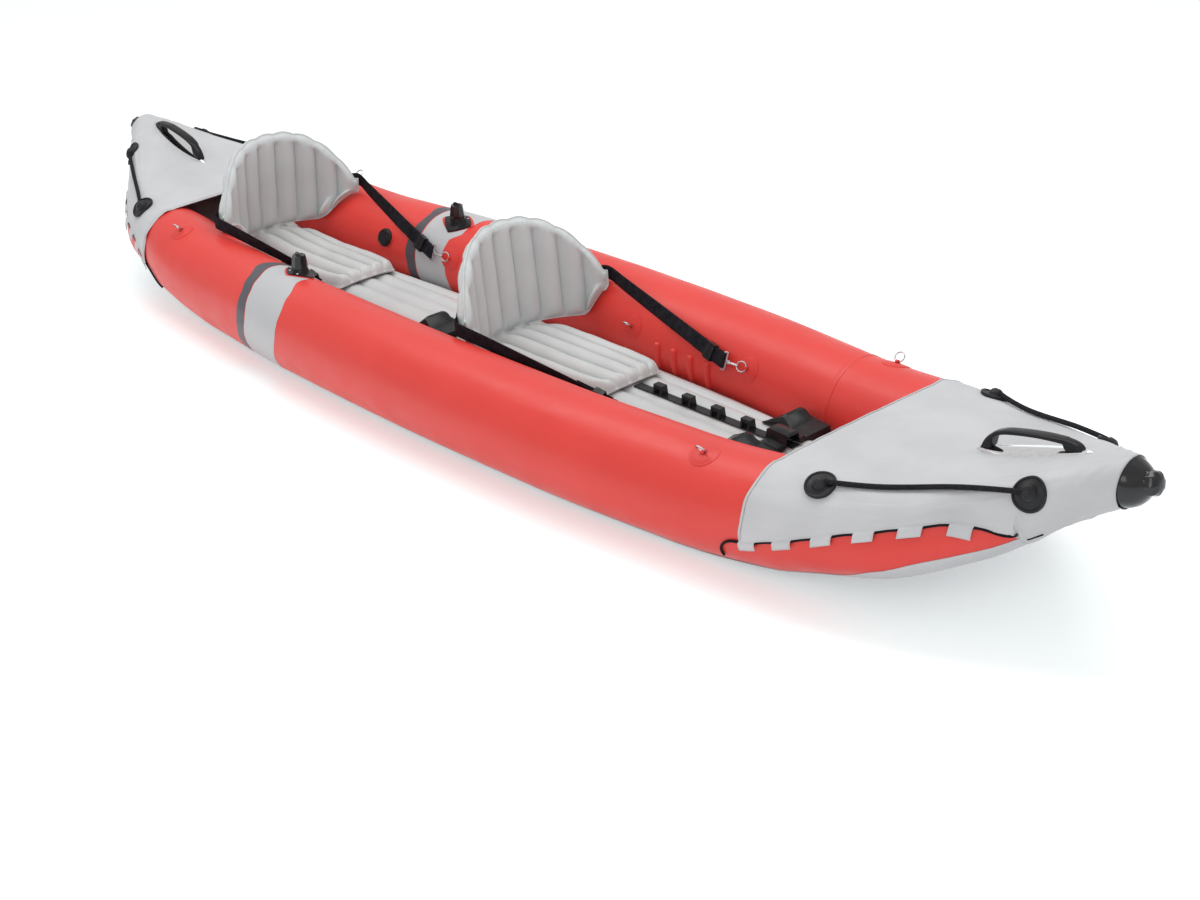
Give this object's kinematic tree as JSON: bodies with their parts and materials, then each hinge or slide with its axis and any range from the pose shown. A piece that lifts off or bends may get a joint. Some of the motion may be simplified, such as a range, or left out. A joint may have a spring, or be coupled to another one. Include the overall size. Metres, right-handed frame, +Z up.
{
  "type": "inflatable canoe",
  "caption": "Tandem inflatable canoe: tapered side tubes, ribbed air floor, laced spray covers, channelled seats with strapped backrests, sliding footrests, rod holders.",
  "frame": {"origin": "centre of the hull's belly on the ground, at the bottom centre of the bounding box", "axes": "+X toward the bow, +Y to port, +Z up"},
  "size_m": [3.8396, 0.94, 0.4837],
  "materials": {
    "red_vinyl": "satin",
    "grey_vinyl": "satin",
    "floor_vinyl": "satin",
    "cover_fabric": "coated",
    "seat_vinyl": "matt",
    "black_plastic": "semi-gloss",
    "black_rubber": "matt",
    "black_webbing": "woven",
    "black_rope": "braided",
    "bright_metal": "polished"
  },
  "bodies": {
    "hull": {"port_tube": "red_vinyl", "starboard_tube": "red_vinyl", "hull_bottom": "grey_vinyl", "floor_chamber": "floor_vinyl", "bow_cover": "cover_fabric", "stern_cover": "cover_fabric", "bow_nose_cone": "black_plastic", "bow_handle_base": "black_plastic", "bow_handle_grip": "black_plastic", "stern_nose_cone": "black_plastic", "stern_handle_base": "black_plastic", "stern_handle_grip": "black_plastic", "bow_grab_line_port": "black_rope", "bow_grab_line_starboard": "black_rope", "stern_grab_line_port": "black_rope", "stern_grab_line_starboard": "black_rope", "bow_lacing_port": "black_rope", "bow_lacing_starboard": "black_rope", "stern_lacing_port": "black_rope", "stern_lacing_starboard": "black_rope", "bow_lace_end": "black_rope", "stern_lace_end": "black_rope", "front_strap_ring_port": "bright_metal", "front_strap_ring_starboard": "bright_metal", "rear_strap_ring_port": "bright_metal", "rear_strap_ring_starboard": "bright_metal", "front_hook_port": "bright_metal", "front_hook_starboard": "bright_metal", "rear_hook_port": "bright_metal", "rear_hook_starboard": "bright_metal", "port_rod_holder": "black_plastic", "starboard_rod_holder": "black_plastic", "port_valve": "black_rubber", "starboard_valve": "black_rubber", "floor_valve": "black_rubber", "front_seat_cushion": "seat_vinyl", "rear_seat_cushion": "seat_vinyl", "front_seat_strap": "black_webbing", "rear_seat_strap": "black_webbing", "footrest_track": "black_plastic"},
    "front_backrest": {"front_backrest": "seat_vinyl"},
    "rear_backrest": {"rear_backrest": "seat_vinyl"},
    "bow_ring_port": {"bow_ring_port": "bright_metal"},
    "bow_ring_starboard": {"bow_ring_starboard": "bright_metal"},
    "stern_ring_port": {"stern_ring_port": "bright_metal"},
    "stern_ring_starboard": {"stern_ring_starboard": "bright_metal"},
    "spare_ring_port": {"spare_ring_port": "bright_metal"},
    "spare_ring_starboard": {"spare_ring_starboard": "bright_metal"},
    "port_rod_cap": {"port_rod_cap": "black_plastic"},
    "port_valve_cap": {"port_valve_cap": "black_plastic"},
    "port_valve_stopper": {"port_valve_stopper": "black_rubber"},
    "starboard_rod_cap": {"starboard_rod_cap": "black_plastic"},
    "starboard_valve_cap": {"starboard_valve_cap": "black_plastic"},
    "starboard_valve_stopper": {"starboard_valve_stopper": "black_rubber"},
    "front_footrest": {"front_footrest": "black_plastic"},
    "rear_footrest": {"rear_footrest": "black_plastic"},
    "front_slider_port": {"front_slider_port": "black_plastic"},
    "front_slider_starboard": {"front_slider_starboard": "black_plastic"},
    "rear_slider_port": {"rear_slider_port": "black_plastic"},
    "rear_slider_starboard": {"rear_slider_starboard": "black_plastic"}
  },
  "joints": [
    {"name": "front_backrest_recline", "type": "hinge", "parent": "hull", "child": "front_backrest", "pos_m": [-0.04, 0, 0.1695], "axis": [0, 1, 0], "range_deg": [-20, 0], "deforming": ["front_seat_strap"]},
    {"name": "rear_backrest_recline", "type": "hinge", "parent": "hull", "child": "rear_backrest", "pos_m": [-1.18, 0, 0.19279], "axis": [0, 1, 0], "range_deg": [-20, 0], "deforming": ["rear_seat_strap"]},
    {"name": "bow_ring_port_swing", "type": "hinge", "parent": "hull", "child": "bow_ring_port", "pos_m": [1, 0.33298, 0.26158], "axis": [1, 0, 0], "range_deg": [-60, 60]},
    {"name": "bow_ring_starboard_swing", "type": "hinge", "parent": "hull", "child": "bow_ring_starboard", "pos_m": [1, -0.33298, 0.26158], "axis": [1, 0, 0], "range_deg": [-60, 60]},
    {"name": "stern_ring_port_swing", "type": "hinge", "parent": "hull", "child": "stern_ring_port", "pos_m": [-1.15, 0.32226, 0.27004], "axis": [1, 0, 0], "range_deg": [-60, 60]},
    {"name": "stern_ring_starboard_swing", "type": "hinge", "parent": "hull", "child": "stern_ring_starboard", "pos_m": [-1.15, -0.32226, 0.27004], "axis": [1, 0, 0], "range_deg": [-60, 60]},
    {"name": "spare_ring_port_swing", "type": "hinge", "parent": "hull", "child": "spare_ring_port", "pos_m": [0.206, 0.20281, 0.17441], "axis": [1, 0, 0], "range_deg": [-60, 60]},
    {"name": "spare_ring_starboard_swing", "type": "hinge", "parent": "hull", "child": "spare_ring_starboard", "pos_m": [0.206, -0.20281, 0.17441], "axis": [1, 0, 0], "range_deg": [-60, 60]},
    {"name": "port_rod_cap_lift", "type": "slide", "parent": "hull", "child": "port_rod_cap", "axis": [0, 0, 1], "range_m": [0, 0.08]},
    {"name": "port_valve_cap_hinge", "type": "hinge", "parent": "hull", "child": "port_valve_cap", "pos_m": [-0.8545, 0.17529, 0.18664], "axis": [0, -0.3907, -0.9205], "range_deg": [0, 90]},
    {"name": "port_valve_stopper_press", "type": "slide", "parent": "hull", "child": "port_valve_stopper", "axis": [0, 0.9205, -0.3907], "range_m": [0, 0.002], "stiffness_N_per_m": 200, "springref_m": -0.004},
    {"name": "starboard_rod_cap_lift", "type": "slide", "parent": "hull", "child": "starboard_rod_cap", "axis": [0, 0, 1], "range_m": [0, 0.08]},
    {"name": "starboard_valve_cap_hinge", "type": "hinge", "parent": "hull", "child": "starboard_valve_cap", "pos_m": [-0.8545, -0.17529, 0.18664], "axis": [0, -0.3907, 0.9205], "range_deg": [0, 90]},
    {"name": "starboard_valve_stopper_press", "type": "slide", "parent": "hull", "child": "starboard_valve_stopper", "axis": [0, -0.9205, -0.3907], "range_m": [0, 0.002], "stiffness_N_per_m": 200, "springref_m": -0.004},
    {"name": "front_footrest_slide", "type": "slide", "parent": "hull", "child": "front_footrest", "axis": [1, 0, 0], "range_m": [-0.3, 0]},
    {"name": "rear_footrest_slide", "type": "slide", "parent": "hull", "child": "rear_footrest", "axis": [1, 0, 0], "range_m": [-0.3, 0]},
    {"name": "front_slider_port_slide", "type": "slide", "parent": "hull", "child": "front_slider_port", "axis": [-0.9725, 0.155, 0.1739], "range_m": [0, 0.05]},
    {"name": "front_slider_starboard_slide", "type": "slide", "parent": "hull", "child": "front_slider_starboard", "axis": [-0.9725, -0.155, 0.1739], "range_m": [0, 0.05]},
    {"name": "rear_slider_port_slide", "type": "slide", "parent": "hull", "child": "rear_slider_port", "axis": [-0.9473, 0.1021, 0.3038], "range_m": [0, 0.05]},
    {"name": "rear_slider_starboard_slide", "type": "slide", "parent": "hull", "child": "rear_slider_starboard", "axis": [-0.9473, -0.1021, 0.3038], "range_m": [0, 0.05]}
  ]
}
